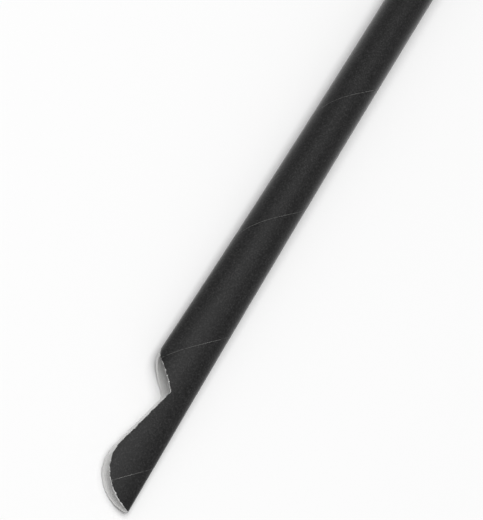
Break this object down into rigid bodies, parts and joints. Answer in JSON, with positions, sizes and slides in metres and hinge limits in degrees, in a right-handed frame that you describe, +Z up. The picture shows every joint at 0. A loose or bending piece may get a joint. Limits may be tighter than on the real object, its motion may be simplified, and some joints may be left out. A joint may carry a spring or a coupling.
{
  "type": "paper drinking straw with a scoop end",
  "caption": "Black spirally wound paper straw with a pale inside, round at one end and cut to a small scoop at the other.",
  "frame": {"origin": "on the table, under the middle of the straw's bounding box", "axes": "+X along the straw from the scoop's tip to the plain end, +Y to the side that the scoop is open to, +Z up"},
  "size_m": [0.2, 0.0108, 0.008],
  "materials": {
    "black_paper": "matt, with a faint mottle and pale fibres at the cut edges",
    "white_paper": "matt, uncoated"
  },
  "bodies": {
    "root": {"outer_strip": "black_paper", "inner_tube": "white_paper"}
  },
  "joints": []
}
